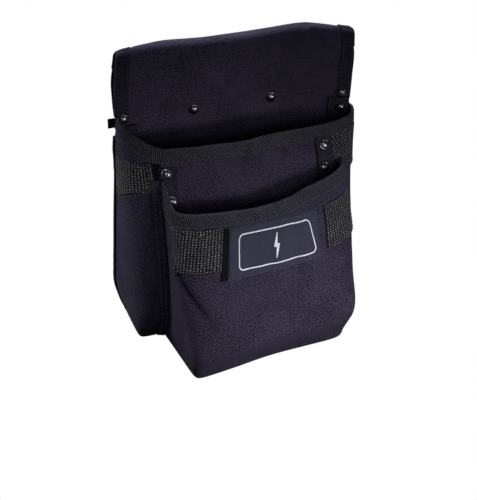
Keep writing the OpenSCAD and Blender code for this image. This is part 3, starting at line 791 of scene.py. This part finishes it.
seam_z = np.linspace(6, 140, 60)
for word, side in SIDES:
    for out in (2.0, 5.2):
        x = front_set(seam_z) + side * (tab(FRONT_W, seam_z) + out)
        sew(over_rear, x, seam_z, 0.0, front_thread)
    tab_x = -1.5 + side * np.linspace(*((64.5, 78) if side < 0 else (61.5, 77)), 14)
    tab_z = np.linspace(130, 169 if side < 0 else 173, 22)
    outer, inner = grid(over_rear, tab_x, tab_z, -0.5, -1.6)
    sheet(outer, inner).make(f"front_corner_tab_{word}", NAVY_TAPE_AND_SHADE, "tape", f"front_corner_tab_{word}")

low = STRIP_TOP - WEBBING_W
inner = -0.57
body = patch(True, -FRONT_END, inner, low, STRIP_TOP + 1, GAP, WEBBING_T, cols=60, rise=8.5)
# At the strip's end, a thin dark sheet beside the label is painted shade: the shadow in the gap under
# the label's raised edge.
patch(True, inner - 0.004, LABEL_S[0] + 0.01, low + 0.8, STRIP_TOP, GAP, PAINTED_SHADE_T, body, 1, cols=8)
body.make("front_webbing_left", [WEBBING, BLACK_TAPE_AND_SHADE], "webbing", "front_webbing_left")
patch(True, (0.57, 0.63), FRONT_END, low + 4, STRIP_TOP + 1, GAP, WEBBING_T, cols=50).make(
    "front_webbing_right", WEBBING, "webbing", "front_webbing_right")
for s in (-0.855, 0.855):
    sew(fore, s, np.linspace(low + (4 if s < 0 else 5), STRIP_TOP - 1, 12), GAP + WEBBING_T, front_thread)
sew(fore, np.linspace(-0.77, -0.585, 14), low + 10.1, GAP + WEBBING_T, front_thread)
sew(fore, np.linspace(0.6, 0.85, 16), low + 5.6, GAP + WEBBING_T, front_thread)
sew(fore, np.linspace(-0.97, 0.97, 160), FOOT_SEAM_Z, 0.0, front_thread)

# ---------------------------------------------------------------- the label

LABEL_T, PRINT_T = 1.0, 0.22
patch(True, LABEL_S[0], LABEL_S[1:], low, STRIP_TOP, GAP, LABEL_T, cols=70).make(
    "label_patch", LABEL, "label", "label_patch")
top = GAP + LABEL_T
for z, end in zip((low + 1.5, STRIP_TOP - 1.5), LABEL_S[1:]):
    sew(fore, np.linspace(LABEL_S[0] + 0.015, end - 0.015, 60), z, top, front_thread)
for ends in ((LABEL_S[0] + 0.032,) * 2, LABEL_S[1:]):
    sew(fore, np.linspace(*ends, 12) - 0.016, np.linspace(low + 2, STRIP_TOP - 2, 12), top, front_thread)
front_thread.make("front_pocket_stitching", THREAD, "tape")

MID_S, MID_Z = 0.012, low + WEBBING_W / 2
RUN = 100  # millimetres of cloth for each unit of s near the label


def printed(points, off):
    """Puts points (across, up), in millimetres from the label's middle, on the label."""
    return fore(MID_S + points[..., 0] / RUN, MID_Z + points[..., 1], top + off)


def rounded_frame(half_w, half_h, r, n=9):
    """Rectangle with round corners, each drawn in n steps."""
    pts = []
    for cx, cy, a0 in ((1, 1, 0), (-1, 1, 90), (-1, -1, 180), (1, -1, 270)):
        pts += [(cx * (half_w - r) + r * math.cos(math.radians(a0 + k * 90 / n)),
                 cy * (half_h - r) + r * math.sin(math.radians(a0 + k * 90 / n))) for k in range(n + 1)]
    return np.array(pts)


def closed_print(outline, width, body):
    """Printed line of even width along a closed outline, as one ring-shaped shell."""
    dense = []
    for a, b in zip(outline, np.roll(outline, -1, 0)):
        steps = max(1, int(np.hypot(*(b - a)) / 2))
        dense += [a + (b - a) * k / steps for k in range(steps)]
    line = np.array(dense)
    step = np.roll(line, -1, 0) - np.roll(line, 1, 0)
    side = np.stack([-step[:, 1], step[:, 0]], -1) / np.hypot(*step.T)[:, None] * width / 2
    points = np.stack([printed(line + side * sign, off)
                       for off, sign in ((PRINT_T, 1), (PRINT_T, -1), (0.0, -1), (0.0, 1))])
    k = len(line)
    at = np.arange(4 * k).reshape(4, k)
    at = np.concatenate([at, at[:1]])
    at = np.concatenate([at, at[:, :1]], 1)
    faces = np.stack([at[:-1, :-1], at[:-1, 1:], at[1:, 1:], at[1:, :-1]], -1).reshape(-1, 4).tolist()
    flat = np.stack([line + side, line - side, line - side, line + side])
    return body.add(points, faces, flat)


border = Body()
closed_print(rounded_frame(46, 13, 4), 0.9, border)
border.make("label_border", PRINT, "print", "label_border")

# The bolt's left and right outlines, from its top to its foot.
left = [(2.6, 9.2), (-0.9, 4.6), (-4.6, -1.0), (-0.9, -1.0), (-2.0, -4.4), (-3.4, -9.2)]
right = [(3.4, 9.2), (2.0, 4.6), (0.9, 1.0), (4.6, 1.0), (0.9, -4.4), (-2.6, -9.2)]
edges = np.array([left, right])
sheet(printed(edges, PRINT_T), printed(edges, 0.0)).make(
    "label_bolt", PRINT, "print", "label_bolt", sharp=30)

# ---------------------------------------------------------------- rivets

def rivet(at, out, back, body):
    """Domed cap with a rolled edge, a post through the layers, and a flat plate behind them."""
    dome = [(CAP_R * 0.93 * math.sin(a), 0.75 + 1.9 * math.cos(a)) for a in np.linspace(0, math.pi / 2, 9)]
    dome[0] = (0.02, dome[0][1])
    roll = [(CAP_R, 0.7), (CAP_R + 0.12, 0.42), (CAP_R, 0.1), (CAP_R - 0.5, -0.05), (1.5, -0.05)]
    plate = [(1.5, back), (CAP_R - 0.7, back), (CAP_R - 0.35, back - 0.25), (CAP_R - 0.5, back - 0.7),
             (2.4, back - 0.9), (0.02, back - 0.9)]
    profile = np.array(dome + roll + plate)
    sides = 32
    axis = Vector(out).normalized()
    one = axis.orthogonal().normalized()
    two = axis.cross(one)
    turn = np.linspace(0, 2 * math.pi, sides, endpoint=False)
    ring = np.outer(np.cos(turn), one) + np.outer(np.sin(turn), two)
    points = (np.array(at) + profile[:, :1, None] * ring[None]
              + profile[:, 1:, None] * np.array(axis)[None, None])
    faces = quads(len(profile), sides, wrap=True).tolist()
    faces += [list(range(sides)), [(len(profile) - 1) * sides + i for i in range(sides)]]
    v = run(profile[:, None], 0)
    uv = np.stack(np.broadcast_arrays(turn[None] * 3, v), -1)
    body.add(points, faces, uv)


def rivets(name, places, point, top_off, back, *nodes):
    """Rivets at the places (u, v) of a surface, as one piece."""
    body = Body()
    for u, v in places:
        at = point(u, v, top_off)
        du = point(u + 1.0, v, top_off) - point(u - 1.0, v, top_off)
        dv = point(u, v + 1.0, top_off) - point(u, v - 1.0, top_off)
        out = np.cross(du, dv)
        rivet(at, out if out[1] < 0 else -out, back, body)
    return body.make(name, METAL, "rivet", *nodes)


# The row of rivets isn't quite level, and the outer two sit on the edge tape.
body = Body()
for x in (-98.5, -35.8, 34.5, 96):
    at = on_panel(x, SEAM_Z + (-1.5 if x > -60 else 1.5), 1.1 if abs(x) > 60 else 0.2)
    across = on_panel(x + 1.0, SEAM_Z, 0) - on_panel(x - 1.0, SEAM_Z, 0)
    rivet(at, np.cross(across, (0, 0, 1.0)), -6.2, body)
body.make("tunnel_rivets", METAL, "rivet", "tunnel_rivet_caps", "tunnel_rivet_posts")
rivets("corner_rivets", [(-96, 183), (96, 183)], over_panel, -0.1, -4.6,
       "corner_rivet_caps", "corner_rivet_posts")
rivets("pocket_rivets", [(-74, 165), (-72.5, 144.5), (67.5, 167.5), (65.5, 150)], over_rear, -0.1, -4.4,
       "pocket_rivet_caps", "pocket_rivet_posts")

# ---------------------------------------------------------------- stage, lights and camera

scene = bpy.context.scene
scene.view_settings.view_transform = "Standard"

SPAN, FLOOR_Z = 6.0, -0.0005  # in metres
floor_mesh = bpy.data.meshes.new("floor")
floor_mesh.from_pydata([(x * SPAN, y * SPAN, FLOOR_Z) for x, y in ((-1, -1), (1, -1), (1, 1), (-1, 1))],
                       [], [(0, 1, 2, 3)])
floor = bpy.data.objects.new("floor", floor_mesh)
scene.collection.objects.link(floor)
paper = bpy.data.materials.new("floor_paper")
paper.use_nodes = True
shader = paper.node_tree.nodes["Principled BSDF"]
shader.inputs["Base Color"].default_value = (0.15, 0.15, 0.15, 1)
shader.inputs["Roughness"].default_value = 1.0
shader.inputs["Specular IOR Level"].default_value = 0.0
floor_mesh.materials.append(paper)


def seen_white(tree, lit, target):
    """Plain white where the camera sees it directly, and the shader lit for all other light."""
    white = tree.nodes.new("ShaderNodeBackground" if tree.nodes.get("Background") else "ShaderNodeEmission")
    white.inputs["Color"].default_value = (1, 1, 1, 1)
    white.inputs["Strength"].default_value = 1.0
    seen = tree.nodes.new("ShaderNodeLightPath")
    choose = tree.nodes.new("ShaderNodeMixShader")
    tree.links.new(seen.outputs["Is Camera Ray"], choose.inputs[0])
    tree.links.new(lit.outputs[0], choose.inputs[1])
    tree.links.new(white.outputs[0], choose.inputs[2])
    tree.links.new(choose.outputs[0], target.inputs["Surface"])


seen_white(paper.node_tree, shader, paper.node_tree.nodes["Material Output"])

world = bpy.data.worlds.new("studio")
scene.world = world
world.use_nodes = True
tree = world.node_tree
sky = tree.nodes["Background"]
sky.inputs["Color"].default_value = (0.9, 0.93, 1.0, 1)
sky.inputs["Strength"].default_value = 0.07
seen_white(tree, sky, tree.nodes["World Output"])


def towards(azimuth, elevation):
    """Direction from the pouch, with the azimuth measured from its front."""
    a, e = math.radians(azimuth), math.radians(elevation)
    return Vector((math.sin(a) * math.cos(e), -math.cos(a) * math.cos(e), math.sin(e)))


def softbox(name, azimuth, elevation, distance, size, power, aim, colour=(1, 1, 1), spread=180):
    back = towards(azimuth, elevation)
    data = bpy.data.lights.new(name, "AREA")
    data.shape = "SQUARE"
    data.size, data.energy, data.color, data.spread = size, power, colour, math.radians(spread)
    lamp = bpy.data.objects.new(name, data)
    lamp.location = Vector(aim) + back * distance
    lamp.rotation_mode = "QUATERNION"
    lamp.rotation_quaternion = back.to_track_quat("Z", "Y")
    scene.collection.objects.link(lamp)


LOW, HIGH = (0.01, -0.07, 0.06), (0, 0.05, 0.2)
softbox("key", 28, 8, 0.42, 0.2, 0.2, LOW, spread=42)
softbox("front", -10, 20, 0.9, 0.3, 0.065, (0.045, 0, 0.22), spread=26)
softbox("left", -128, 15, 0.9, 0.4, 4.6, LOW)
softbox("above", 168, 56, 0.9, 0.5, 18.0, HIGH, (0.85, 0.95, 1.0))
softbox("right", 95, 30, 1.0, 0.4, 1.2, HIGH)

AZIMUTH, ELEVATION, ROLL = -23.6, 35.7, math.radians(2.6)
DISTANCE, FOCAL, SENSOR = 0.9705, 79.2, 36
AIM = Vector((-6.8, FACE_Y - 39.8, 72.4)) * MM
back = towards(AZIMUTH, ELEVATION)
right = Vector((math.cos(math.radians(AZIMUTH)), math.sin(math.radians(AZIMUTH)), 0))
up = back.cross(right)
side = right * math.cos(ROLL) + up * math.sin(ROLL)
above = back.cross(side)
lens = bpy.data.cameras.new("camera")
lens.lens, lens.sensor_width = FOCAL, SENSOR
lens.clip_start, lens.clip_end = 0.05, 20
camera = bpy.data.objects.new("camera", lens)
scene.collection.objects.link(camera)
turned = Matrix((side, above, back)).transposed()
camera.matrix_world = Matrix.Translation(AIM + back * DISTANCE) @ turned.to_4x4()
scene.camera = camera
